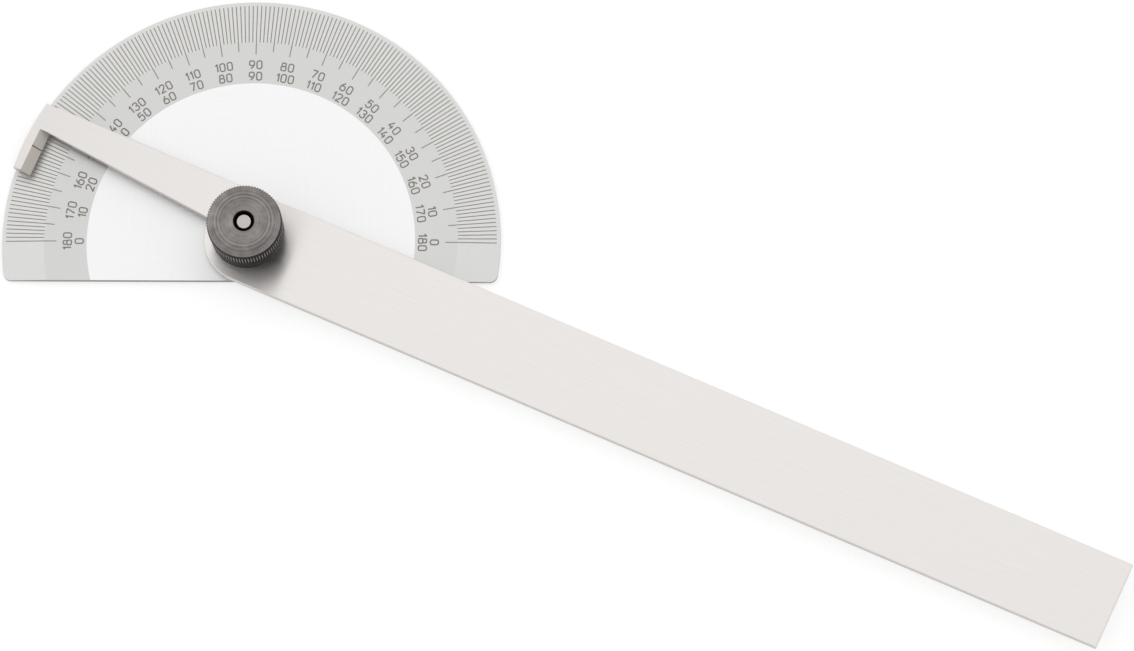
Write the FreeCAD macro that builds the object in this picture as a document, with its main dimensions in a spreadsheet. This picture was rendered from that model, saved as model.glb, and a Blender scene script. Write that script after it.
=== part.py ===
"""Bevel protractor: a half-round head with a degree scale, and a long blade that turns on its stud.

Frame: the origin is on the pivot axis, in the head's flat rear face. +X runs along the base edge
towards the zero line, +Y towards the ninety line, and +Z out of the face that carries the scale.
Lengths are millimetres and angles are degrees.
"""
import FreeCAD, Part
import math
import os

import Sketcher

DIMENSIONS = [
    # alias, value, what it is
    ("rim_radius", 40.0, "outer radius of the half-round head"),
    ("base_drop", 6.46, "base edge below the pivot line"),
    ("corner_radius", 1.3, "rounding of the head's two base corners"),
    ("plate_thick", 1.0, "thickness of the head"),
    ("band_radius", 33.2, "inner radius of the bevelled scale band"),
    ("rim_thick", 0.62, "thickness left at the rim by the bevel"),
    ("spacer_diam", 11.0, "outside diameter of the spacer washer"),
    ("spacer_thick", 1.1, "thickness of the spacer washer"),
    ("blade_wide", 14.6, "width of the blade"),
    ("blade_thick", 1.4, "thickness of the blade"),
    ("blade_reach", 150.5, "pivot axis to the blade's square end"),
    ("blade_angle", 23.3, "blade turned clockwise from the base line at rest"),
    ("arm_tip_wide", 4.42, "width of the pointer arm at its foot"),
    ("arm_taper", 4.9, "slope of the pointer arm's lower edge"),
    ("foot_drop", 4.45, "foot's end past the index line"),
    ("foot_land", 1.5, "flat of the foot outside its sloped face"),
    ("slope_run", 1.55, "run of the foot's sloped face"),
    ("toe_thick", 0.12, "thickness left at the toe of the slope"),
    ("edge_break", 0.1, "broken edge round the blade's upper face"),
    ("stud_head_diam", 8.0, "stud's flush rear head"),
    ("stud_head_thick", 0.45, "thickness of the stud's rear head"),
    ("shoulder_diam", 5.0, "shoulder that the blade turns on"),
    ("shoulder_below", 0.1, "shoulder's top below the blade's upper face"),
    ("thread_diam", 2.9, "outside of the stud's thread"),
    ("stud_chamfer", 0.35, "chamfer on the stud's free end"),
    ("stud_sunk", 0.45, "stud's free end below the nut's face"),
    ("key_flat", 1.1, "stud's key flat from its axis"),
    ("key_rise", 2.4, "key flat's height above the clamp washer"),
    ("spring_diam", 9.0, "outside diameter of the dished spring washer"),
    ("spring_thick", 0.3, "sheet thickness of the spring washer"),
    ("spring_height", 0.7, "height of the spring washer under the clamp"),
    ("clamp_diam", 9.0, "outside diameter of the clamp washer"),
    ("clamp_thick", 0.8, "thickness of the clamp washer"),
    ("nut_diam", 12.0, "outside diameter over the knurl"),
    ("nut_face_diam", 8.8, "flat of the nut's top face"),
    ("nut_crown", 0.6, "height of the nut's conical crown"),
    ("knurl_high", 2.95, "height of the knurled band"),
    ("groove_high", 0.3, "height of the groove under the knurl"),
    ("groove_deep", 0.3, "depth of the groove under the knurl"),
    ("skirt_diam", 11.8, "diameter of the plain skirt"),
    ("skirt_high", 3.15, "height of the plain skirt"),
    ("collar_diam", 8.4, "diameter of the nut's seat collar"),
    ("collar_high", 1.6, "height of the nut's seat collar"),
    ("mouth_diam", 3.4, "countersink at the nut's top"),
    ("knurl_teeth", 80, "grooves round the knurl"),
    ("knurl_deep", 0.18, "depth of a knurl groove"),
    ("pivot_clear", 0.05, "radial clearance of blade and spacer on the shoulder"),
    ("thread_clear", 0.06, "radial clearance on the thread's outside"),
    ("key_clear", 0.06, "clearance of the clamp washer on the key flat"),
    ("rivet_clear", 0.02, "radial clearance of the stud in the head"),
    ("spring_clear", 0.02, "spring washer's top below the clamp washer"),
    ("cut_over", 1.0, "length by which a cutting profile overshoots"),
]

doc = FreeCAD.newDocument("bevel_protractor")
size = {alias: value for alias, value, _ in DIMENSIONS}


def make_sheet():
    """Driving dimensions, one row each: name, value, meaning."""
    sheet = doc.addObject("Spreadsheet::Sheet", "dims")
    for row, (alias, value, meaning) in enumerate(DIMENSIONS, start=1):
        sheet.set(f"A{row}", alias)
        sheet.set(f"B{row}", str(value))
        sheet.set(f"C{row}", meaning)
        sheet.setAlias(f"B{row}", alias)
    doc.recompute()


# ---------------------------------------------------------------- sketching

# The sketcher's own numbers for a sketch's origin point and its two axes.
ORIGIN = (-1, 1)
AXIS = {"across": -1, "up": -2}


def new_body(label):
    body = doc.addObject("PartDesign::Body", label)
    body.Label = label
    return body


def new_sketch(body, name, role, rise=None):
    """A sketch on one of the body's own origin planes, lifted along its normal by a formula."""
    sketch = body.newObject("Sketcher::SketchObject", name)
    plane = next(f for f in body.Origin.OriginFeatures if f.Role == role)
    sketch.AttachmentSupport = (plane, "")
    sketch.MapMode = "FlatFace"
    if rise:
        sketch.setExpression("AttachmentOffset.Base.z", rise)
    return sketch


def as_drawn(sketch, kind, where):
    """What a measured constraint reads in the outline as it was first drawn."""
    if kind == "Radius":
        return sketch.Geometry[where[0]].Radius
    if kind == "Diameter":
        return 2 * sketch.Geometry[where[0]].Radius
    gap = sketch.getPoint(*where[2:]) - sketch.getPoint(*where[:2])
    return gap.x if kind == "DistanceX" else gap.y


def drive(sketch, kind, where, formula):
    """Adds one measured constraint and ties it to the sheet."""
    drawn = as_drawn(sketch, kind, where)
    index = sketch.addConstraint(Sketcher.Constraint(kind, *where, drawn))
    name = f"size_{index}"
    sketch.renameConstraint(index, name)
    sketch.setExpression(f"Constraints.{name}", formula)


def place(sketch, point, across, up):
    """Holds a sketch point at two signed formulas, or on an axis where a formula is 0."""
    for kind, axis, formula in (("DistanceX", AXIS["up"], across), ("DistanceY", AXIS["across"], up)):
        if formula == "0":
            sketch.addConstraint(Sketcher.Constraint("PointOnObject", *point, axis))
        elif formula.startswith("-"):
            drive(sketch, kind, (*point, *ORIGIN), formula[1:])
        else:
            drive(sketch, kind, (*ORIGIN, *point), formula)


def join(sketch, first, second):
    sketch.addConstraint(Sketcher.Constraint("Coincident", *first, *second))


def polygon(sketch, corners):
    """A closed outline of straight lines, each corner at its own pair of formulas."""
    count = len(corners)
    wide = size["spring_diam"]
    guess = [
        FreeCAD.Vector(wide * math.cos(math.tau * i / count), wide * math.sin(math.tau * i / count), 0)
        for i in range(count)
    ]
    for i in range(count):
        sketch.addGeometry(Part.LineSegment(guess[i], guess[(i + 1) % count]))
    for i, (across, up) in enumerate(corners):
        join(sketch, (i, 2), ((i + 1) % count, 1))
        place(sketch, (i, 1), across, up)


def circle(sketch, diameter):
    """A circle about the sketch's origin."""
    index = sketch.addGeometry(Part.Circle(FreeCAD.Vector(), FreeCAD.Vector(0, 0, 1), size["shoulder_diam"]))
    join(sketch, (index, 3), ORIGIN)
    drive(sketch, "Diameter", (index,), diameter)


def arc(sketch, radius, start, end):
    """An arc about the sketch's origin, from one guessed angle to another, in radians."""
    whole = Part.Circle(FreeCAD.Vector(), FreeCAD.Vector(0, 0, 1), size_of(radius))
    index = sketch.addGeometry(Part.ArcOfCircle(whole, start, end))
    join(sketch, (index, 3), ORIGIN)
    drive(sketch, "Radius", (index,), radius)
    return index


def size_of(radius):
    """First guess of an arc's radius, from the two forms of formula that arcs use here."""
    alias = radius.replace("dims.", "")
    if alias.endswith(" / 2"):
        return size[alias[:-4]] / 2
    return size[alias]


# ---------------------------------------------------------------- features

def pad(body, sketch, name, length):
    feature = body.newObject("PartDesign::Pad", name)
    feature.Profile = sketch
    feature.setExpression("Length", length)
    return feature


def pocket(body, sketch, name, length, upward=True):
    """A cut along the sketch's normal where upward is set, and against it otherwise."""
    feature = body.newObject("PartDesign::Pocket", name)
    feature.Profile = sketch
    feature.setExpression("Length", length)
    feature.Reversed = upward
    return feature


def turned(body, name, corners, kind="PartDesign::Revolution"):
    """A turned form about the pivot axis, from its half section: radius, then height."""
    sketch = new_sketch(body, name + "_section", "XZ_Plane")
    polygon(sketch, corners)
    feature = body.newObject(kind, name)
    feature.Profile = sketch
    feature.ReferenceAxis = (sketch, ["V_Axis"])
    feature.Angle = 360
    return feature


def edges_where(shape, wanted):
    """Names of the edges that pass a test."""
    return [f"Edge{i}" for i, edge in enumerate(shape.Edges, start=1) if wanted(edge)]


# ---------------------------------------------------------------- heights above the rear face

BLADE_FOOT = "(dims.plate_thick + dims.spacer_thick)"
BLADE_FACE = f"({BLADE_FOOT} + dims.blade_thick)"
CLAMP_FOOT = f"({BLADE_FACE} + dims.spring_height)"
NUT_FOOT = f"({CLAMP_FOOT} + dims.clamp_thick)"
SKIRT_FOOT = "dims.collar_high"
GROOVE_FOOT = f"({SKIRT_FOOT} + dims.skirt_high)"
KNURL_FOOT = f"({GROOVE_FOOT} + dims.groove_high)"
KNURL_TOP = f"({KNURL_FOOT} + dims.knurl_high)"
NUT_HIGH = f"({KNURL_TOP} + dims.nut_crown)"


def lift(body, formula):
    body.setExpression("Placement.Base.z", formula)


# ---------------------------------------------------------------- the pieces

def make_plate():
    """Head: a half disc with a straight base, its rim turned to a shallow cone for the scale."""
    body = new_body("protractor_plate")

    outline = new_sketch(body, "head_outline", "XY_Plane")
    dip = math.asin(size["base_drop"] / size["rim_radius"])
    rim = arc(outline, "dims.rim_radius", -dip, math.pi + dip)
    half = size["rim_radius"] * math.cos(dip)
    base = outline.addGeometry(Part.LineSegment(
        FreeCAD.Vector(-half, -size["base_drop"], 0), FreeCAD.Vector(half, -size["base_drop"], 0)))
    join(outline, (base, 1), (rim, 2))
    join(outline, (base, 2), (rim, 1))
    outline.addConstraint(Sketcher.Constraint("Horizontal", base))
    drive(outline, "DistanceY", (base, 1, *ORIGIN), "dims.base_drop")
    head = pad(body, outline, "head", "dims.plate_thick")
    doc.recompute()

    corners = body.newObject("PartDesign::Fillet", "base_corners")
    upright = edges_where(head.Shape, lambda edge: abs(edge.tangentAt(edge.FirstParameter).z) > 0.99)
    corners.Base = (head, upright)
    corners.setExpression("Radius", "dims.corner_radius")

    over = "(dims.rim_radius + dims.cut_over)"
    fall = (f"(dims.plate_thick - (dims.plate_thick - dims.rim_thick)"
            f" * ({over} - dims.band_radius) / (dims.rim_radius - dims.band_radius))")
    turned(body, "scale_band", [
        ("dims.band_radius", "dims.plate_thick"),
        (over, "dims.plate_thick"),
        (over, fall),
    ], kind="PartDesign::Groove")

    neck = new_sketch(body, "stud_hole_outline", "XY_Plane")
    circle(neck, "dims.shoulder_diam + 2 * dims.rivet_clear")
    pocket(body, neck, "stud_hole", "dims.plate_thick")
    seat = new_sketch(body, "stud_seat_outline", "XY_Plane")
    circle(seat, "dims.stud_head_diam + 2 * dims.rivet_clear")
    pocket(body, seat, "stud_seat", "dims.stud_head_thick")
    return body


def make_stud():
    """Stud: flush rear head, shoulder through head and blade, threaded end with a key flat."""
    body = new_body("pivot_stud")
    shoulder_top = f"({BLADE_FACE} - dims.shoulder_below)"
    free_end = f"({NUT_FOOT} + {NUT_HIGH} - dims.stud_sunk)"
    turned(body, "stud_turned", [
        ("0", "0"),
        ("dims.stud_head_diam / 2", "0"),
        ("dims.stud_head_diam / 2", "dims.stud_head_thick"),
        ("dims.shoulder_diam / 2", "dims.stud_head_thick"),
        ("dims.shoulder_diam / 2", shoulder_top),
        ("dims.thread_diam / 2", shoulder_top),
        ("dims.thread_diam / 2", f"{free_end} - dims.stud_chamfer"),
        ("dims.thread_diam / 2 - dims.stud_chamfer", free_end),
        ("0", free_end),
    ])
    flat = new_sketch(body, "key_flat_outline", "XZ_Plane", rise="-dims.thread_diam")
    top = f"({NUT_FOOT} + dims.key_rise)"
    polygon(flat, [
        ("dims.key_flat", shoulder_top),
        ("dims.thread_diam", shoulder_top),
        ("dims.thread_diam", top),
        ("dims.key_flat", top),
    ])
    pocket(body, flat, "key_flat", "2 * dims.thread_diam")
    return body


def make_ring(label, outer, bore, thick, foot):
    """A flat washer."""
    body = new_body(label)
    turned(body, label + "_turned", [
        (f"{bore} / 2", "0"),
        (f"{outer} / 2", "0"),
        (f"{outer} / 2", thick),
        (f"{bore} / 2", thick),
    ])
    lift(body, foot)
    return body


def make_blade():
    """Blade, pointer arm and foot in one flat piece, modelled along +X and then turned."""
    body = new_body("pointer_blade")

    outline = new_sketch(body, "blade_outline", "XY_Plane")
    half = size["blade_wide"] / 2
    rim = size["rim_radius"]
    toe = size["rim_radius"] - size["foot_land"] - size["slope_run"]
    tip = half - size["arm_tip_wide"]
    root = FreeCAD.Vector(-half, 0.2, 0)
    points = {
        "end_top": FreeCAD.Vector(size["blade_reach"], half, 0),
        "end_low": FreeCAD.Vector(size["blade_reach"], -half, 0),
        "heel": FreeCAD.Vector(0, -half, 0),
        "root": root,
        "tip": FreeCAD.Vector(-toe, tip, 0),
        "foot_in": FreeCAD.Vector(-toe, -size["foot_drop"], 0),
        "foot_out": FreeCAD.Vector(-rim, -size["foot_drop"], 0),
        "rim_top": FreeCAD.Vector(-math.sqrt(rim ** 2 - half ** 2), half, 0),
    }

    def line(first, second):
        return outline.addGeometry(Part.LineSegment(points[first], points[second]))

    end = line("end_top", "end_low")
    low = line("end_low", "heel")
    arm = line("tip", "root")
    inner = line("tip", "foot_in")
    foot = line("foot_in", "foot_out")
    top = line("rim_top", "end_top")
    heel = arc(outline, "dims.blade_wide / 2", math.pi - 0.03, 1.5 * math.pi)
    outer = arc(outline, "dims.rim_radius", math.pi - math.asin(half / rim),
                math.pi + math.asin(size["foot_drop"] / rim))
    for first, second in (
        ((end, 2), (low, 1)), ((low, 2), (heel, 2)), ((heel, 1), (arm, 2)), ((arm, 1), (inner, 1)),
        ((inner, 2), (foot, 1)), ((foot, 2), (outer, 2)), ((outer, 1), (top, 1)), ((top, 2), (end, 1)),
    ):
        join(outline, first, second)
    place(outline, (end, 1), "dims.blade_reach", "dims.blade_wide / 2")
    place(outline, (low, 1), "dims.blade_reach", "-dims.blade_wide / 2")
    outline.addConstraint(Sketcher.Constraint("PointOnObject", heel, 2, AXIS["up"]))
    outline.addConstraint(Sketcher.Constraint("Horizontal", top))
    outline.addConstraint(Sketcher.Constraint("Horizontal", foot))
    toe_radius = "(dims.rim_radius - dims.foot_land - dims.slope_run)"
    place(outline, (inner, 1), f"-{toe_radius}", "dims.blade_wide / 2 - dims.arm_tip_wide")
    place(outline, (inner, 2), f"-{toe_radius}", "-dims.foot_drop")
    taper = -math.radians(size["arm_taper"])
    slope = outline.addConstraint(Sketcher.Constraint("Angle", arm, taper))
    outline.renameConstraint(slope, "taper")
    outline.setExpression("Constraints.taper", "-dims.arm_taper * 1 deg")
    flat = pad(body, outline, "blade_flat", "dims.blade_thick")

    wedge = new_sketch(body, "foot_slope_section", "XZ_Plane", rise="dims.foot_drop + dims.cut_over")
    polygon(wedge, [
        ("-(dims.rim_radius - dims.foot_land)", "dims.blade_thick"),
        (f"-{toe_radius}", "dims.toe_thick"),
        (f"-{toe_radius}", "dims.blade_thick"),
    ])
    pocket(body, wedge, "foot_slope",
           "dims.foot_drop + dims.cut_over + dims.blade_wide / 2 - dims.arm_tip_wide", upward=False)

    hole = new_sketch(body, "pivot_hole_outline", "XY_Plane")
    circle(hole, "dims.shoulder_diam + 2 * dims.pivot_clear")
    drilled = pocket(body, hole, "pivot_hole", "dims.blade_thick")
    doc.recompute()

    def on_upper_rim(edge):
        """True for the upper face's outer edges, but not for the hole's or the slope's."""
        level = all(abs(v.Z - size["blade_thick"]) < 1e-6 for v in edge.Vertexes)
        middle = edge.valueAt((edge.FirstParameter + edge.LastParameter) / 2)
        by_hole = math.hypot(middle.x, middle.y) < size["blade_wide"] / 2 - 1
        by_slope = -rim + size["foot_land"] - 0.01 < middle.x < -toe + 0.01 and middle.y < tip + 0.2
        return level and not by_hole and not by_slope

    broken = body.newObject("PartDesign::Chamfer", "broken_edges")
    broken.Base = (drilled, edges_where(drilled.Shape, on_upper_rim))
    broken.setExpression("Size", "dims.edge_break")

    lift(body, BLADE_FOOT)
    body.Placement.Rotation = FreeCAD.Rotation(FreeCAD.Vector(0, 0, -1), size["blade_angle"])
    body.setExpression("Placement.Rotation.Angle", "dims.blade_angle * 1 deg")
    return body


def make_spring_washer():
    """Dished washer: its outer edge stands on the blade and its bore edge bears on the clamp."""
    body = new_body("spring_washer")
    top = "(dims.spring_height - dims.spring_clear)"
    turned(body, "dished_ring", [
        ("dims.spring_diam / 2", "0"),
        ("dims.spring_diam / 2", "dims.spring_thick"),
        ("dims.thread_diam / 2 + dims.thread_clear", top),
        ("dims.thread_diam / 2 + dims.thread_clear", f"{top} - dims.spring_thick"),
    ])
    lift(body, BLADE_FACE)
    return body


def make_clamp_washer():
    """Flat washer whose D-shaped hole fits the stud's key flat, so that it can't turn."""
    body = new_body("clamp_washer")
    disc = new_sketch(body, "disc_outline", "XY_Plane")
    circle(disc, "dims.clamp_diam")
    pad(body, disc, "disc", "dims.clamp_thick")

    hole = new_sketch(body, "key_hole_outline", "XY_Plane")
    round_part = hole.addGeometry(Part.ArcOfCircle(
        Part.Circle(FreeCAD.Vector(), FreeCAD.Vector(0, 0, 1), 1.5), 0.7, 5.5))
    chord = hole.addGeometry(Part.LineSegment(FreeCAD.Vector(1.1, -1, 0), FreeCAD.Vector(1.1, 1, 0)))
    join(hole, (round_part, 3), ORIGIN)
    join(hole, (round_part, 2), (chord, 1))
    join(hole, (chord, 2), (round_part, 1))
    hole.addConstraint(Sketcher.Constraint("Vertical", chord))
    drive(hole, "Radius", (round_part,), "dims.thread_diam / 2 + dims.thread_clear")
    drive(hole, "DistanceX", (*ORIGIN, chord, 1), "dims.key_flat + dims.key_clear")
    pocket(body, hole, "key_hole", "dims.clamp_thick")
    lift(body, CLAMP_FOOT)
    return body


def make_nut():
    """Nut: seat collar, plain skirt, groove, knurled band, conical crown and countersunk mouth."""
    body = new_body("knurled_nut")
    bore = "(dims.thread_diam / 2 + dims.thread_clear)"
    turned(body, "nut_turned", [
        (bore, "0"),
        ("dims.collar_diam / 2", "0"),
        ("dims.collar_diam / 2", SKIRT_FOOT),
        ("dims.skirt_diam / 2", SKIRT_FOOT),
        ("dims.skirt_diam / 2", GROOVE_FOOT),
        ("dims.skirt_diam / 2 - dims.groove_deep", GROOVE_FOOT),
        ("dims.skirt_diam / 2 - dims.groove_deep", KNURL_FOOT),
        ("dims.nut_diam / 2", KNURL_FOOT),
        ("dims.nut_diam / 2", KNURL_TOP),
        ("dims.nut_face_diam / 2", NUT_HIGH),
        ("dims.mouth_diam / 2", NUT_HIGH),
        (bore, f"{NUT_HIGH} - (dims.mouth_diam / 2 - {bore})"),
    ])
    groove = new_sketch(body, "knurl_tooth_outline", "XY_Plane", rise=KNURL_FOOT)
    wide = "(dims.knurl_deep + dims.cut_over) * pi * dims.nut_diam / dims.knurl_teeth / dims.knurl_deep / 2"
    polygon(groove, [
        ("dims.nut_diam / 2 - dims.knurl_deep", "0"),
        ("dims.nut_diam / 2 + dims.cut_over", f"-{wide}"),
        ("dims.nut_diam / 2 + dims.cut_over", wide),
    ])
    tooth = pocket(body, groove, "knurl_groove", "dims.knurl_high + dims.nut_crown")
    ring = body.newObject("PartDesign::PolarPattern", "knurl")
    ring.Originals = [tooth]
    ring.Axis = (groove, ["N_Axis"])
    ring.Angle = 360
    ring.setExpression("Occurrences", "dims.knurl_teeth")
    body.Tip = ring
    lift(body, NUT_FOOT)
    return body


# ---------------------------------------------------------------- build, check, write

def check(bodies):
    """Stops the build where any object failed or any piece isn't one sound solid."""
    for thing in doc.Objects:
        if {"Invalid", "Error"} & set(thing.State):
            raise RuntimeError(f"{thing.Label} failed: {thing.State}")
    for body in bodies:
        if body.Shape.isNull() or not body.Shape.isValid() or len(body.Shape.Solids) != 1:
            raise RuntimeError(f"{body.Label} is not one sound solid")
        print(f"{body.Label}: {body.Shape.Volume:.2f} mm3")


def main():
    make_sheet()
    bodies = [
        make_plate(),
        make_stud(),
        make_ring("spacer_washer", "dims.spacer_diam", "(dims.shoulder_diam + 2 * dims.pivot_clear)",
                  "dims.spacer_thick", "dims.plate_thick"),
        make_blade(),
        make_spring_washer(),
        make_clamp_washer(),
        make_nut(),
    ]
    doc.recompute()
    check(bodies)
    os.makedirs("parts", exist_ok=True)
    for body in bodies:
        body.Shape.exportStep(f"parts/{body.Label}.step")


main()
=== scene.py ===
# %% [markdown]
# # Bevel protractor
# The real tool is four things to the eye: a half-round chromed head with a degree scale, a long
# ground steel blade, a blackened knurled nut, and the bright end of the stud inside it.
# The CAD model already has every solid at its true size, so it is loaded as a fixed frame and
# stays where it is. What is left for Blender is the finish of each piece and the marks on them.

# %% Load the frame
import math

import bpy
from mathutils import Matrix, Vector


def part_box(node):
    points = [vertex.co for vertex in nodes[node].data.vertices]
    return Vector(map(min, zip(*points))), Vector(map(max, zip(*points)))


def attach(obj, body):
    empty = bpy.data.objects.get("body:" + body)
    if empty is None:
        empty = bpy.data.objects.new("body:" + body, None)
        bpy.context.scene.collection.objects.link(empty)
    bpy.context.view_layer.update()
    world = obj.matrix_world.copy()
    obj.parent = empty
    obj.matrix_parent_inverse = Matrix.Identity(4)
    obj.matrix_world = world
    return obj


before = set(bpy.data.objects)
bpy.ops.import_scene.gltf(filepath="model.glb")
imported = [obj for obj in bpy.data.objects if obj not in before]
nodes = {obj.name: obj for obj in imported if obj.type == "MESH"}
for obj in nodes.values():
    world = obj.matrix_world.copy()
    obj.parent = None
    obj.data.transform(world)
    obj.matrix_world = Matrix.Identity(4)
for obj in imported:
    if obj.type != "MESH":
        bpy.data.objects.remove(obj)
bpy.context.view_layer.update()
print("nodes:", ", ".join(sorted(nodes)))

# %% [markdown]
# Blender works in metres and the tool is thought of in millimetres, so one name stands for a
# millimetre. Heights and radii are read from the boxes of the CAD nodes, because a mark has to
# lie on the metal wherever the metal is. The blade's angle isn't in any box, so it is measured
# between the pivot and the middle of the blade's far end.

# %% Measure the pieces
MM = 0.001
plate_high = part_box("protractor_plate")[1]
blade_low, blade_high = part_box("pointer_blade")
NUT_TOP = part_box("knurled_nut")[1][2]
RIM = plate_high[0]
PLATE_FACE = plate_high[2]
BLADE_FACE = blade_high[2]
blade_points = [v.co for v in nodes["pointer_blade"].data.vertices]
reach = max(point.xy.length for point in blade_points)
far_end = [point for point in blade_points if point.xy.length > reach - 1 * MM]
BLADE_ANGLE = -math.atan2(sum(point.y for point in far_end), sum(point.x for point in far_end))
# The two edges of the slope on the blade's foot: along the blade from the pivot, and height.
SLOPE_TOP = (-38.50 * MM, BLADE_FACE)
SLOPE_TOE = (-36.95 * MM, blade_low[2] + 0.12 * MM)
print("blade turned", round(math.degrees(BLADE_ANGLE), 3), "degrees")

# %% [markdown]
# Operators work on whatever is selected, and the loader leaves the CAD nodes selected. Clearing
# the selection before each new piece keeps the frame safe. A second helper picks the points of a
# new piece by where they are, as a hand would with a box select.

# %% Helpers for modelling
def clear_selection():
    if bpy.context.mode != "OBJECT":
        bpy.ops.object.mode_set(mode="OBJECT")
    bpy.ops.object.select_all(action="DESELECT")


def pick(piece, wanted):
    """Enters edit mode with just those points selected whose place passes the test."""
    if bpy.context.mode != "OBJECT":
        bpy.ops.object.mode_set(mode="OBJECT")
    piece.select_set(True)
    bpy.context.view_layer.objects.active = piece
    bpy.ops.object.mode_set(mode="EDIT")
    bpy.ops.mesh.select_mode(type="VERT")
    bpy.ops.mesh.select_all(action="DESELECT")
    bpy.ops.object.mode_set(mode="OBJECT")
    for point in piece.data.vertices:
        point.select = wanted(point.co)
    bpy.ops.object.mode_set(mode="EDIT")


def settle(piece, name):
    """Names a finished piece and puts its place into its mesh."""
    clear_selection()
    piece.select_set(True)
    bpy.context.view_layer.objects.active = piece
    bpy.ops.object.transform_apply(location=True, rotation=True, scale=True)
    piece.name = name
    clear_selection()
    return piece


# %% [markdown]
# Colours are written as they are seen on a screen, and the shader wants them linear, so one
# function converts them. Another adds a node, sets what it is told and wires it, and the short
# ones after it are the handful of nodes that nearly every material below is made of.

# %% Helpers for materials
def colour(hex_code):
    """An sRGB hex value such as "#E4E2DE" as linear red, green, blue and alpha."""
    levels = [int(hex_code[i:i + 2], 16) / 255 for i in (1, 3, 5)]
    return [c / 12.92 if c <= 0.04045 else ((c + 0.055) / 1.055) ** 2.4 for c in levels] + [1.0]


def add(tree, kind, inputs=None, **settings):
    """Adds a node with its settings; an input is a value, or an output to wire it from."""
    node = tree.nodes.new(kind)
    for name, value in settings.items():
        setattr(node, name, value)
    for socket, value in (inputs or {}).items():
        if isinstance(value, bpy.types.NodeSocket):
            tree.links.new(value, node.inputs[socket])
        else:
            node.inputs[socket].default_value = value
    return node


def new_material(name, **shader_values):
    """An empty material with one Principled shader, whose plain values are set on its sockets."""
    material = bpy.data.materials.new(name)
    material.use_nodes = True
    tree = material.node_tree
    tree.nodes.clear()
    shader = add(tree, "ShaderNodeBsdfPrincipled",
                 {key.replace("_", " "): value for key, value in shader_values.items()})
    add(tree, "ShaderNodeOutputMaterial", {"Surface": shader.outputs["BSDF"]})
    place = add(tree, "ShaderNodeTexCoord").outputs["Object"]
    return material, tree, shader, place


def calc(tree, operation, first, second=0.0):
    return add(tree, "ShaderNodeMath", {0: first, 1: second}, operation=operation).outputs[0]


def ramp(tree, value, start=0.0, end=1.0, low=0.0, high=1.0):
    """A value's run from start to end made a run from low to high, and held beyond both."""
    return add(tree, "ShaderNodeMapRange", {
        "Value": value, "From Min": start, "From Max": end, "To Min": low, "To Max": high}).outputs[0]


def blend(tree, factor, first, second):
    """A colour that goes from the first to the second with the factor."""
    return add(tree, "ShaderNodeMix", {"Factor": factor, "A": first, "B": second},
               data_type="RGBA").outputs["Result"]


def noise(tree, place, scale, detail, roughness=0.5):
    return add(tree, "ShaderNodeTexNoise", {
        "Vector": place, "Scale": scale, "Detail": detail, "Roughness": roughness}).outputs["Fac"]


def stretched(tree, place, sizes):
    """The place measured in those sizes, one along each axis, for a pattern stretched to them."""
    return add(tree, "ShaderNodeMapping", {
        "Vector": place, "Scale": [1 / size for size in sizes]}).outputs[0]


def from_axis(tree, place):
    """The place with its height left out, and its distance from the pivot's axis."""
    flat = add(tree, "ShaderNodeMapping", {"Vector": place, "Scale": (1, 1, 0)}).outputs[0]
    return flat, add(tree, "ShaderNodeVectorMath", {0: flat}, operation="LENGTH").outputs["Value"]


def lathe_rings(tree, radius, apart, detail, roughness=0.5):
    """Uneven rings about the axis, that far apart."""
    return add(tree, "ShaderNodeTexNoise", {
        "W": calc(tree, "MULTIPLY", radius, 1 / apart), "Scale": 1.0, "Detail": detail,
        "Roughness": roughness}, noise_dimensions="1D").outputs["Fac"]


def brushed(tree, shader, direction):
    """Tilts the fine facets of brushed metal along a direction given in the piece's own space."""
    turned_with_piece = add(tree, "ShaderNodeVectorTransform", {"Vector": direction},
                            vector_type="VECTOR", convert_from="OBJECT", convert_to="WORLD")
    tree.links.new(turned_with_piece.outputs[0], shader.inputs["Tangent"])


def walls(tree):
    """One on upright faces and nothing on level ones, where shade is painted on the walls."""
    normal = add(tree, "ShaderNodeSeparateXYZ", {0: add(tree, "ShaderNodeTexCoord").outputs["Normal"]})
    level = calc(tree, "ABSOLUTE", normal.outputs["Z"])
    return ramp(tree, level, 0.6, 0.3)


def dress(piece, material):
    piece.data.materials.clear()
    piece.data.materials.append(material)


def dress_node(name, material):
    for slot in nodes[name].material_slots:
        slot.material = material


# %% [markdown]
# ## Floor, light and camera
# A small bright tool shows best on a white sweep, under one broad softbox and plenty of
# white card. The floor here is a plain pale plane that is lit like any other and takes the
# tool's shadow. A little light of its own, only for the camera and for what reflects in the
# metal, lifts it to white without putting more light on the tool.

# %% Floor
FLOOR_GLOW = 0.63
bpy.context.scene.view_settings.view_transform = "Standard"
clear_selection()
bpy.ops.mesh.primitive_plane_add(size=8, location=(0, 0, -0.02 * MM))
floor = settle(bpy.context.object, "floor")
sweep, tree, shader, place = new_material("white_paper_sweep", Roughness=0.9)
shader.inputs["Base Color"].default_value = colour("#B4B4B4")
rays = add(tree, "ShaderNodeLightPath").outputs
seen = calc(tree, "MAXIMUM", rays["Is Camera Ray"], rays["Is Glossy Ray"])
seen = calc(tree, "MAXIMUM", seen, rays["Is Transmission Ray"])
glow = calc(tree, "MULTIPLY", seen, FLOOR_GLOW)
shader.inputs["Emission Color"].default_value = colour("#FFFFFF")
tree.links.new(glow, shader.inputs["Emission Strength"])
dress(floor, sweep)

# %% [markdown]
# The room is a plain white world that stands for the card around the tool, a little darker on
# the near side, where the camera and its stand are. Flat metal shows whatever lies in its mirror
# direction, so a small, faint softbox hangs there, half a metre up behind the blade, and gives
# the blade and the right half of the head their slow rise in brightness. A second one at the
# back left is what casts shadows.

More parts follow.
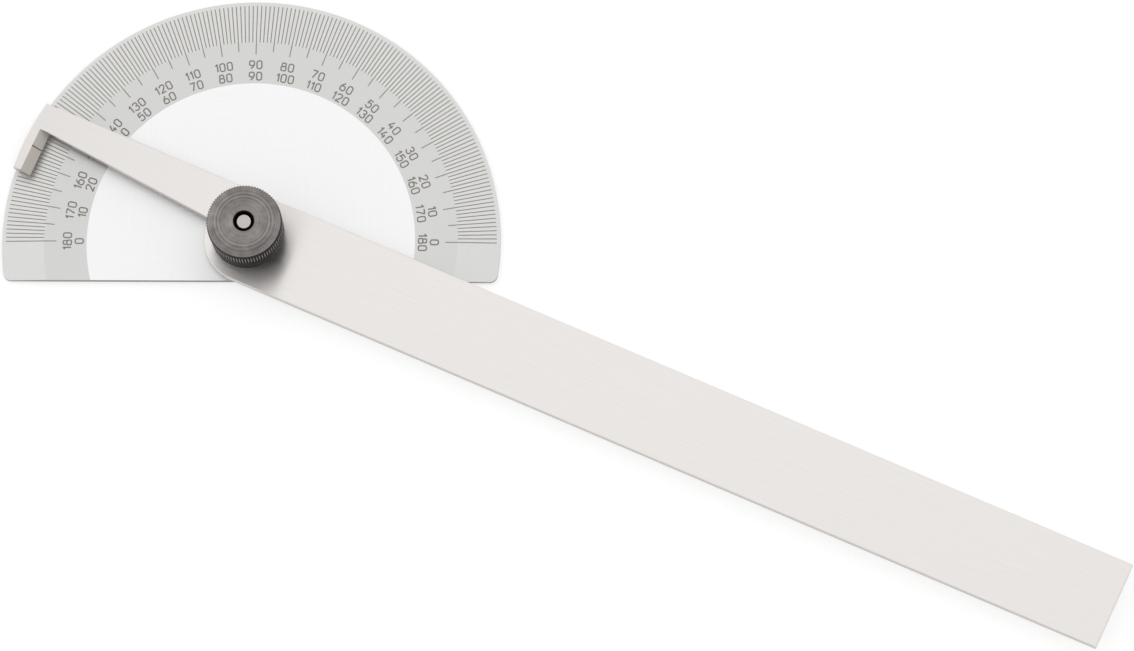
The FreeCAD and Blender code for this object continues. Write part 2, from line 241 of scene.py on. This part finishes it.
# %% Room and lamps
world = bpy.data.worlds.new("white_card_room")
bpy.context.scene.world = world
world.use_nodes = True
room = world.node_tree
room.nodes.clear()
outlook = add(room, "ShaderNodeTexCoord").outputs["Generated"]
near_side = add(room, "ShaderNodeVectorMath", {0: outlook, 1: (0.0, -0.8, 0.6)}, operation="DOT_PRODUCT")
level = ramp(room, near_side.outputs["Value"], 0.3, 1.0, low=0.93, high=0.66)
card = add(room, "ShaderNodeBackground", {"Color": colour("#FFFFFF"), "Strength": level})
add(room, "ShaderNodeOutputWorld", {"Surface": card.outputs[0]})


def softbox(name, place, wide, power):
    """A square lamp that faces the pivot."""
    clear_selection()
    bpy.ops.object.light_add(type="AREA", location=place)
    lamp = bpy.context.object
    lamp.name = name
    lamp.rotation_euler = Vector(place).to_track_quat("Z", "Y").to_euler()
    lamp.data.size = wide
    lamp.data.energy = power


softbox("softbox_key", (-0.84, 0.53, 1.12), 0.8, 1.2)
softbox("softbox_behind", (0.05, 0.125, 0.5), 0.3, 0.08)

# %% [markdown]
# The camera looks down on the tool from the front with a long lens from a metre and a half
# away, so the scale stays nearly undistorted and only the tall nut leans.

# %% Camera
clear_selection()
bpy.ops.object.camera_add(location=(0.149390, -0.419106, 1.537777))
camera = bpy.context.object
camera.rotation_euler = [math.radians(angle) for angle in (14.82027, 3.36793, 1.12975)]
camera.data.sensor_width = 36
camera.data.lens = 317.54
camera.data.clip_start = 0.01
camera.data.clip_end = 20
bpy.context.scene.camera = camera

# %% [markdown]
# ## The head's steel
# The head is steel with matt chrome over it, a finish that stays readable in any light. The disc
# inside the scale is left brighter, and its fine brushing runs both along and across the base
# edge. The bevelled band under the degree marks is a touch paler than the ring with the
# numerals. All three are the same metal, so one material tells them apart by the distance from
# the pivot, and the rear face keeps the plain ring's finish.

# %% Matt chrome with a brushed disc
DISC = 26.35 * MM
BAND = 33.2 * MM
chrome, tree, shader, place = new_material("matt_chromed_steel_brushed_disc", Metallic=1.0)
radius = from_axis(tree, place)[1]
height = add(tree, "ShaderNodeSeparateXYZ", {0: place}).outputs["Z"]
on_face = calc(tree, "GREATER_THAN", height, 0.4 * MM)
in_disc = ramp(tree, radius, DISC + 0.05 * MM, DISC - 0.05 * MM)
in_disc = calc(tree, "MULTIPLY", in_disc, on_face)
in_band = ramp(tree, radius, BAND - 0.05 * MM, BAND + 0.05 * MM)
# Brushing: strokes about 12 mm long. Real ones are a few hundredths wide; 0.3 mm shows.
along = stretched(tree, place, (0.012, 0.0003, 1))
across = stretched(tree, place, (0.0003, 0.012, 1))
strokes_x = noise(tree, along, 1.0, 3.0, 0.6)
strokes_y = noise(tree, across, 1.0, 3.0, 0.6)
weave = calc(tree, "ADD", strokes_x, strokes_y)
# Matt chrome: a fine blasted grain, about 0.25 mm here so that it shows.
grit = noise(tree, place, 1 / 0.00025, 2.0, 0.5)
# Slow unevenness of the plating, a few centimetres across.
cloud = noise(tree, place, 1 / 0.025, 2.0)

ring_tone = blend(tree, grit, colour("#CECECC"), colour("#D7D7D5"))
band_tone = blend(tree, grit, colour("#D3D3D1"), colour("#DDDDDB"))
weave_part = ramp(tree, weave, 0.6, 1.4)
disc_tone = blend(tree, weave_part, colour("#F6F6F6"), colour("#FBFBFB"))
tone = blend(tree, in_band, ring_tone, band_tone)
tone = blend(tree, in_disc, tone, disc_tone)
# The blanked edge all round is painted darker than the faces: painted shade for the shaded side wall and the
# thin shadow line along it.
tone = blend(tree, walls(tree), tone, colour("#93918E"))
tree.links.new(tone, shader.inputs["Base Color"])

matt = ramp(tree, cloud, low=0.38, high=0.45)
silky = ramp(tree, weave_part, low=0.52, high=0.58)
gloss = add(tree, "ShaderNodeMix", {"Factor": in_disc, "A": matt, "B": silky})
tree.links.new(gloss.outputs[0], shader.inputs["Roughness"])
relief = add(tree, "ShaderNodeMix", {"Factor": in_disc, "A": grit, "B": weave_part})
bump = add(tree, "ShaderNodeBump", {"Height": relief.outputs[0], "Strength": 0.12, "Distance": 0.01 * MM})
tree.links.new(bump.outputs[0], shader.inputs["Normal"])
dress_node("protractor_plate", chrome)

# %% [markdown]
# ## The blade's steel
# The blade is a strip of cold-rolled steel, ground along its length and left bare. Grinding
# leaves long hair lines in line with the blade, so the pattern is turned to the blade's angle
# and stretched along it. The sloped face of the pointer's foot was milled after the grinding,
# and stays a darker grey.

# %% Ground steel along the blade
steel, tree, shader, place = new_material("ground_blade_steel", Metallic=1.0, Anisotropic=0.9)
turned = add(tree, "ShaderNodeMapping", {"Vector": place, "Rotation": (0, 0, BLADE_ANGLE)}).outputs[0]
# Hair lines about 20 mm long and 0.25 mm wide, with finer ones between them.
long_lines = stretched(tree, turned, (0.020, 0.00025, 0.00025))
short_lines = stretched(tree, turned, (0.005, 0.00018, 0.00018))
hair = noise(tree, long_lines, 1.0, 4.0, 0.65)
fine = noise(tree, short_lines, 1.0, 2.0, 0.5)
grain = calc(tree, "ADD", hair, fine)
grain = ramp(tree, grain, 0.65, 1.35)
parts = add(tree, "ShaderNodeSeparateXYZ", {0: turned}).outputs
# The slope lies inside the blade's upper face, and only at the pointer's foot.
below = calc(tree, "LESS_THAN", parts["Z"], BLADE_FACE - 0.03 * MM)
outer = calc(tree, "LESS_THAN", parts["X"], SLOPE_TOE[0] + 0.01 * MM)
inner = calc(tree, "GREATER_THAN", parts["X"], SLOPE_TOP[0] - 0.05 * MM)
milled = calc(tree, "MULTIPLY", outer, inner)
milled = calc(tree, "MULTIPLY", milled, below)
ground = blend(tree, grain, colour("#E6E2DF"), colour("#EDE9E6"))
cut = blend(tree, fine, colour("#BAB4AE"), colour("#C8C2BC"))
tone = blend(tree, milled, ground, cut)
# The blade's walls outside the slope are painted darker: painted shade for the shaded side walls and the
# thin shadow line under them.
blade_wall_shade = calc(tree, "SUBTRACT", 1.0, milled)
blade_wall_shade = calc(tree, "MULTIPLY", blade_wall_shade, walls(tree))
tone = blend(tree, blade_wall_shade, tone, colour("#C6C2BE"))
tree.links.new(tone, shader.inputs["Base Color"])
gloss = ramp(tree, grain, low=0.28, high=0.32)
tree.links.new(gloss, shader.inputs["Roughness"])
bump = add(tree, "ShaderNodeBump", {"Height": grain, "Strength": 0.2, "Distance": 0.01 * MM})
tree.links.new(bump.outputs[0], shader.inputs["Normal"])
# A ground groove tilts its facets across the grain.
brushed(tree, shader, (math.sin(BLADE_ANGLE), math.cos(BLADE_ANGLE), 0))
dress_node("pointer_blade", steel)

# %% [markdown]
# ## The nut's steel
# The nut is turned, knurled and then blackened. The lathe leaves rings on its face, and where a
# thumb rubs, on the face and on the knurl's tips, the black wears back to grey steel. In the
# knurl's grooves and on the plain skirt below it the black is whole; on the skirt that black is
# also painted shade, for the shadowed blade it reflects. Where each of them is follows from height
# and radius, so one material does both. Bare steel is metal to the shader and the black oxide
# isn't, so the metallic value follows the wear as well.

# %% Blackened turned steel
CROWN = 0.62 * MM
MOUTH = 1.72 * MM
TIPS = 6 * MM
black, tree, shader, place = new_material("blackened_turned_steel", Anisotropic=0.7, Specular_IOR_Level=0.02)
flat, radius = from_axis(tree, place)
height = add(tree, "ShaderNodeSeparateXYZ", {0: place}).outputs["Z"]
# Turning rings: one lathe feed is about 0.1 mm; rings 0.3 mm apart show.
rings = lathe_rings(tree, radius, 0.0003, 2.0, 0.6)
blotch = noise(tree, place, 1 / 0.0018, 4.0)
mixed = calc(tree, "ADD", rings, blotch)
mixed = ramp(tree, mixed, 0.7, 1.3)
worn = blend(tree, mixed, colour("#6E6A68"), colour("#A09C9A"))
# The oxide's own black; on the skirt it is painted shade as well.
whole_black_and_shade = blend(tree, blotch, colour("#0F0C0B"), colour("#1C1715"))
# The face and the crown are worn, outside the countersink.
on_top = ramp(tree, height, NUT_TOP - CROWN - 0.04 * MM, NUT_TOP - CROWN + 0.04 * MM)
past_mouth = calc(tree, "GREATER_THAN", radius, MOUTH)
on_top = calc(tree, "MULTIPLY", on_top, past_mouth)
# The outer fifth of a millimetre of the crown, where it meets the knurl, is kept mostly black.
inside_rim = ramp(tree, radius, TIPS - 0.1 * MM, TIPS - 0.22 * MM, low=0.15)
on_top = calc(tree, "MULTIPLY", on_top, inside_rim)
# The knurl's tips are worn too, from a little under its upper end; the skirt is a hair narrower.
on_tips = ramp(tree, radius, TIPS - 0.09 * MM, TIPS - 0.02 * MM)
below_rim = ramp(tree, height, NUT_TOP - 1.2 * MM, NUT_TOP - 1.5 * MM)
on_tips = calc(tree, "MULTIPLY", on_tips, below_rim)
wear = calc(tree, "MAXIMUM", on_top, on_tips)
tone = blend(tree, wear, whole_black_and_shade, worn)
tree.links.new(tone, shader.inputs["Base Color"])
tree.links.new(wear, shader.inputs["Metallic"])
gloss = ramp(tree, mixed, low=0.36, high=0.5)
tree.links.new(gloss, shader.inputs["Roughness"])
bump = add(tree, "ShaderNodeBump", {"Height": rings, "Strength": 0.6, "Distance": 0.03 * MM})
tree.links.new(bump.outputs[0], shader.inputs["Normal"])
# The rings tilt their facets towards the axis and away from it.
brushed(tree, shader, flat)
dress_node("knurled_nut", black)

# %% [markdown]
# ## The stud and the washers
# The stud is free-cutting steel left bright from the lathe, so its ends show fine rings about
# the axis. The washers between the blade and the nut are plain rolled steel, a little darker,
# with the light grease that such a pivot is put together with.

# %% Bright turned steel and washer steel
bright, tree, shader, place = new_material("bright_turned_steel", Metallic=1.0)
radius = from_axis(tree, place)[1]
rings = lathe_rings(tree, radius, 0.0002, 1.0)
tone = blend(tree, rings, colour("#B4AEAB"), colour("#C9C4C1"))
# The rim of the stud's end is threaded and painted dark: oil in the thread, and painted shade in the thread
# and its chamfer.
thread_oil_and_shade = ramp(tree, radius, 1.1 * MM, 1.2 * MM)
tone = blend(tree, thread_oil_and_shade, tone, colour("#3A3532"))
tree.links.new(tone, shader.inputs["Base Color"])
gloss = ramp(tree, rings, low=0.28, high=0.42)
tree.links.new(gloss, shader.inputs["Roughness"])
bump = add(tree, "ShaderNodeBump", {"Height": rings, "Strength": 0.2, "Distance": 0.01 * MM})
tree.links.new(bump.outputs[0], shader.inputs["Normal"])
dress_node("pivot_stud", bright)

rolled, tree, shader, place = new_material("greased_rolled_steel", Metallic=1.0)
smear = noise(tree, place, 1 / 0.0015, 4.0)
tone = blend(tree, smear, colour("#8F8B86"), colour("#B5B1AB"))
tree.links.new(tone, shader.inputs["Base Color"])
gloss = ramp(tree, smear, low=0.25, high=0.45)
tree.links.new(gloss, shader.inputs["Roughness"])
for name in ("spacer_washer", "spring_washer", "clamp_washer"):
    dress_node(name, rolled)

# %% [markdown]
# ## The degree scale
# The marks are engraved lines filled with dark paint. There is one for each degree, and those at
# fives and tens reach further in. A mark is a bead of paint that stands a hundredth of a
# millimetre proud: a cube is stretched to one line, its top is drawn in so that it is domed, and
# its outer end is let down along the bevelled band. One line of each kind is modelled at the
# zero and then spun round the pivot.

# %% Paint in the engraving
paint, tree, shader, place = new_material("engraving_paint", Roughness=0.55)
uneven = noise(tree, place, 1 / 0.0006, 3.0)
tone = blend(tree, uneven, colour("#857E78"), colour("#9A938D"))
tree.links.new(tone, shader.inputs["Base Color"])

# %% Degree lines
LINE_END = 39.4 * MM
FIVES_START = 31.7 * MM
TENS_START = 31.2 * MM
LINE_WIDE = 0.2 * MM
RIM_DROP = 0.38 * MM
PROUD = 0.012 * MM


def bead_line(inner, outer):
    """One domed line along +X, on the head's face and down its bevel."""
    clear_selection()
    bpy.ops.mesh.primitive_cube_add(size=1, location=((inner + outer) / 2, 0, PLATE_FACE))
    line = bpy.context.object
    line.scale = (outer - inner, LINE_WIDE, 2 * PROUD)
    settle(line, "line")
    pick(line, lambda p: p.z > PLATE_FACE)
    bpy.ops.transform.resize(value=(1, 0.6, 1))
    pick(line, lambda p: p.x > BAND + 0.1 * MM)
    bpy.ops.transform.translate(value=(0, 0, -RIM_DROP * (outer - BAND) / (RIM - BAND)))
    bpy.ops.object.mode_set(mode="OBJECT")
    return line


def spun(line, every):
    """The line, repeated round the half circle at that many degrees."""
    pick(line, lambda p: True)
    bpy.ops.mesh.spin(steps=round(180 / every), dupli=True, angle=-math.pi, center=(0, 0, 0), axis=(0, 0, 1))
    bpy.ops.object.mode_set(mode="OBJECT")
    return line


lines = [
    spun(bead_line(BAND, LINE_END), 1),
    spun(bead_line(FIVES_START, BAND), 5),
    spun(bead_line(TENS_START, FIVES_START), 10),
]
clear_selection()
for line in lines:
    line.select_set(True)
bpy.context.view_layer.objects.active = lines[0]
bpy.ops.object.join()
scale_lines = settle(bpy.context.object, "degree_lines")
dress(scale_lines, paint)
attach(scale_lines, "head")
low = min(v.co.y for v in scale_lines.data.vertices)
print("degree lines:", len(scale_lines.data.polygons), "faces, lowest y", round(low / MM, 3), "mm")

# %% [markdown]
# ## The numerals
# The numerals are narrow engraver's figures, cut by a tool that follows a template, so every
# stroke has the same width and round ends. Each figure is drawn once as strokes on a grid ten
# units high. A stroke is a smooth curve with a thin round section, which is then made a mesh and
# pressed flat to a bead of paint. A doubled point makes a sharp corner in a smooth stroke.

# %% Figures as strokes
UNIT = 0.13 * MM
HIGH = 10
STROKE = 0.22 * MM
GAP = 3.2
OUTER_ROW = 29.45 * MM
INNER_ROW = 27.55 * MM
SIX = [([(0, 0), (6, 0), (6, 3), (6, 6), (0, 6), (0, 3)], True), ([(0, 3), (0, 6.8), (4.2, 10)], False)]
FIGURES = {
    "0": [([(0, 0), (6, 0), (6, 5), (6, 10), (0, 10), (0, 5)], True)],
    "1": [([(0, 7.4), (2.4, 10), (2.4, 10), (2.4, 0)], False)],
    "2": [([(0.1, 7.4), (0.1, 10), (6, 10), (6, 6), (0, 0), (0, 0), (6, 0)], False)],
    "3": [([(0.3, 8.2), (0.5, 10), (5.7, 10), (5.7, 5.5), (2.6, 5.5)], False),
          ([(2.6, 5.5), (6, 5.5), (6, 0), (0, 0), (0, 2.2)], False)],
    "4": [([(3.2, 10), (0, 2.8), (0, 2.8), (6, 2.8)], False), ([(4.3, 5.4), (4.3, 2.8), (4.3, 0)], False)],
    "5": [([(5.6, 10), (0.8, 10), (0.8, 10), (0.4, 5.4), (0.4, 5.4),
            (2, 6.6), (6, 6.8), (6, 0), (0, 0), (0, 2)], False)],
    "6": SIX,
    "7": [([(0, 10), (6, 10), (6, 10), (2, 0)], False)],
    "8": [([(0, 0), (6, 0), (6, 2.7), (6, 5.4), (0, 5.4), (0, 2.7)], True),
          ([(0.6, 5.4), (5.4, 5.4), (5.4, 7.7), (5.4, 10), (0.6, 10), (0.6, 7.7)], True)],
    "9": [([(6 - x, 10 - y) for x, y in points], closed) for points, closed in SIX],
}
WIDTH = {figure: 2.4 if figure == "1" else 6 for figure in FIGURES}


def drawn(figure):
    """One figure as a flat bead on the floor of the grid, with its lower left at the origin."""
    clear_selection()
    bpy.ops.curve.primitive_nurbs_path_add()
    pen = bpy.context.object
    pen.data.splines.clear()
    for points, closed in FIGURES[figure]:
        stroke = pen.data.splines.new("NURBS")
        stroke.points.add(len(points) - 1)
        for point, (x, y) in zip(stroke.points, points):
            point.co = (x * UNIT, y * UNIT, 0, 1)
        stroke.order_u = 3
        stroke.use_cyclic_u = closed
        stroke.use_endpoint_u = not closed
        stroke.resolution_u = 4
    pen.data.bevel_depth = STROKE / 2
    pen.data.bevel_resolution = 0
    pen.data.use_fill_caps = True
    pen.location = (0, 0, 0)
    bpy.ops.object.convert(target="MESH")
    bead = bpy.context.object
    bead.scale = (1, 1, 2 * PROUD / STROKE)
    return settle(bead, "figure_" + figure)


templates = {figure: drawn(figure) for figure in FIGURES}
print("figures:", {figure: len(bead.data.polygons) for figure, bead in templates.items()})

# %% [markdown]
# Both rows stand upright to someone looking out from the pivot, and each number is centred on
# its ten-degree line. The outer row counts from the right and the inner row from the left.

# %% Two rows of numbers
def set_number(text, degrees, middle):
    """Copies of the figures, set across the line at that angle, with their middle at that radius."""
    total = sum(WIDTH[figure] for figure in text) + GAP * (len(text) - 1)
    turn = Matrix.Rotation(math.radians(degrees - 90), 4, "Z")
    at = -total / 2
    copies = []
    for figure in text:
        copy = templates[figure].copy()
        copy.data = copy.data.copy()
        place = Matrix.Translation((at * UNIT, middle - HIGH / 2 * UNIT, PLATE_FACE))
        copy.data.transform(turn @ place)
        bpy.context.scene.collection.objects.link(copy)
        copies.append(copy)
        at += WIDTH[figure] + GAP
    return copies


def row_of_numbers(name, middle, value_at):
    figures = []
    for degrees in range(0, 181, 10):
        figures += set_number(str(value_at(degrees)), degrees, middle)
    clear_selection()
    for figure in figures:
        figure.select_set(True)
    bpy.context.view_layer.objects.active = figures[0]
    bpy.ops.object.join()
    row = settle(bpy.context.object, name)
    dress(row, paint)
    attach(row, "head")
    print(name, "has", len(row.data.polygons), "faces")


row_of_numbers("numbers_outer_row", OUTER_ROW, lambda degrees: degrees)
row_of_numbers("numbers_inner_row", INNER_ROW, lambda degrees: 180 - degrees)
for bead in templates.values():
    bpy.data.objects.remove(bead)

# %% [markdown]
# ## The index line
# One black line runs down the sloped face of the pointer's foot and is what the scale is read
# with. It is a bead of paint like the others, with its inner end let down along the slope, and it
# is turned with the blade and rides on it.

# %% Index line on the foot
lean = math.atan2(SLOPE_TOP[1] - SLOPE_TOE[1], SLOPE_TOE[0] - SLOPE_TOP[0])
clear_selection()
bpy.ops.mesh.primitive_cube_add(size=1, location=((SLOPE_TOP[0] + SLOPE_TOE[0]) / 2, 0, SLOPE_TOP[1]))
index_line = bpy.context.object
index_line.scale = (SLOPE_TOE[0] - SLOPE_TOP[0], LINE_WIDE, 2 * PROUD / math.cos(lean))
settle(index_line, "index_line")
pick(index_line, lambda p: p.z > SLOPE_TOP[1])
bpy.ops.transform.resize(value=(1, 0.7, 1))
pick(index_line, lambda p: p.x > (SLOPE_TOP[0] + SLOPE_TOE[0]) / 2)
bpy.ops.transform.translate(value=(0, 0, SLOPE_TOE[1] - SLOPE_TOP[1]))
bpy.ops.object.mode_set(mode="OBJECT")
index_line.data.transform(Matrix.Rotation(-BLADE_ANGLE, 4, "Z"))
settle(index_line, "index_line")

ink, tree, shader, place = new_material("index_line_black_paint", Roughness=0.4)
uneven = noise(tree, place, 1 / 0.0003, 2.0)
tone = blend(tree, uneven, colour("#161412"), colour("#2A2725"))
tree.links.new(tone, shader.inputs["Base Color"])
dress(index_line, ink)
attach(index_line, "blade")

# %% [markdown]
# ## Clear the selection
# Last, the selection is cleared.

# %% Clear the selection
clear_selection()
